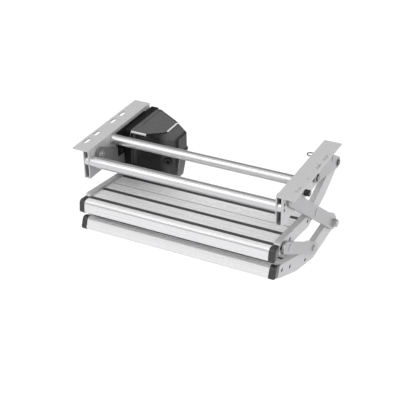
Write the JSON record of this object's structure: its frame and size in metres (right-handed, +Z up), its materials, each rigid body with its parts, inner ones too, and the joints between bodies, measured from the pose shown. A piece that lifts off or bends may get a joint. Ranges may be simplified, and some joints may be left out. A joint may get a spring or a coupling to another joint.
{
  "type": "caravan entry step",
  "caption": "Electric double entry step for a caravan: two slotted rails, cross tubes, swing-out arms, hollow aluminium treads and a motor housing.",
  "frame": {"origin": "middle of the mounting plane: midway between the rails, at half their length, on their top faces", "axes": "+X to the right seen from the doorway side in front, +Y to the rear (under the vehicle), +Z up"},
  "size_m": [0.5026, 0.3589, 0.2545],
  "materials": {
    "rail_aluminium": "satin natural anodised, fine lengthwise die lines",
    "tube_aluminium": "bright brushed",
    "link_aluminium": "satin, lightly brushed",
    "side_arm_aluminium": "satin, lightly blasted",
    "tread_aluminium": "natural anodised with fine grip ribs",
    "cap_plastic": "gloss black",
    "grip_rubber": "matt black, ribbed",
    "bumper_rubber": "semi-matt black",
    "bush_plastic": "plain moulded",
    "painted_steel": "dark grey powder coat",
    "housing_plastic": "fine moulded grain",
    "motor_casting": "as cast",
    "fastener_steel": "zinc plated"
  },
  "bodies": {
    "frame": {"left_rail": "rail_aluminium", "right_rail": "rail_aluminium", "front_cross_tube": "tube_aluminium", "rear_cross_tube": "tube_aluminium", "tube_screws": "fastener_steel", "main_pivot_pins": "fastener_steel", "main_pivot_nuts": "fastener_steel", "rear_pivot_pin": "fastener_steel", "rear_pivot_nut": "fastener_steel", "bumper_studs": "fastener_steel", "stop_bumpers": "bumper_rubber", "cable_eye": "fastener_steel", "motor_plate": "painted_steel", "motor_base": "housing_plastic", "motor_cover": "housing_plastic", "gear_motor": "motor_casting", "cable_grommet": "bumper_rubber", "motor_plate_screws": "fastener_steel"},
    "main_arms": {"left_main_arm": "link_aluminium", "right_main_arm": "link_aluminium", "main_arm_bushes": "bush_plastic", "upper_pivot_pins": "fastener_steel", "lower_pivot_pins": "fastener_steel"},
    "upper_step": {"upper_tread": "tread_aluminium", "upper_right_side_arm": "side_arm_aluminium", "upper_left_side_arm": "side_arm_aluminium", "upper_right_end_cap": "cap_plastic", "upper_left_end_cap": "cap_plastic", "upper_grip_strips": "grip_rubber", "upper_side_screws": "fastener_steel", "upper_arm_bushes": "bush_plastic", "upper_rear_bushes": "bush_plastic", "link_pivot_pins": "fastener_steel"},
    "lower_step": {"lower_tread": "tread_aluminium", "lower_right_side_arm": "side_arm_aluminium", "lower_left_side_arm": "side_arm_aluminium", "lower_right_end_cap": "cap_plastic", "lower_left_end_cap": "cap_plastic", "lower_grip_strips": "grip_rubber", "lower_side_screws": "fastener_steel", "lower_arm_bushes": "bush_plastic", "lower_link_bushes": "bush_plastic"},
    "lower_links": {"left_lower_link": "link_aluminium", "right_lower_link": "link_aluminium", "lower_link_bolts": "fastener_steel"},
    "rear_links": {"left_rear_link": "link_aluminium", "right_rear_link": "link_aluminium", "rear_link_bolts": "fastener_steel", "output_shaft": "fastener_steel"}
  },
  "joints": [
    {"name": "step_swing", "type": "hinge", "parent": "frame", "child": "main_arms", "pos_m": [0, -0.092, -0.023], "axis": [-1, 0, 0], "range_deg": [0, 82]},
    {"name": "upper_step_pivot", "type": "hinge", "parent": "main_arms", "child": "upper_step", "pos_m": [0, 0.04904, -0.13142], "axis": [1, 0, 0], "range_deg": [0, 89.25]},
    {"name": "lower_step_pivot", "type": "hinge", "parent": "main_arms", "child": "lower_step", "pos_m": [0, 0.16694, -0.22205], "axis": [1, 0, 0], "range_deg": [0, 104.5]},
    {"name": "lower_link_pivot", "type": "hinge", "parent": "upper_step", "child": "lower_links", "pos_m": [0, -0.09391, -0.1356], "axis": [-1, 0, 0], "range_deg": [0, 85.16]},
    {"name": "rear_link_pivot", "type": "hinge", "parent": "frame", "child": "rear_links", "pos_m": [0, 0.04365, -0.043], "axis": [-1, 0, 0], "range_deg": [0, 142.01]}
  ],
  "couplings": [
    {"joint": "upper_step_pivot", "follows": "step_swing", "ratio": 1.0884},
    {"joint": "lower_step_pivot", "follows": "step_swing", "ratio": 1.2744},
    {"joint": "lower_link_pivot", "follows": "step_swing", "ratio": 1.0385},
    {"joint": "rear_link_pivot", "follows": "step_swing", "ratio": 1.7318}
  ]
}
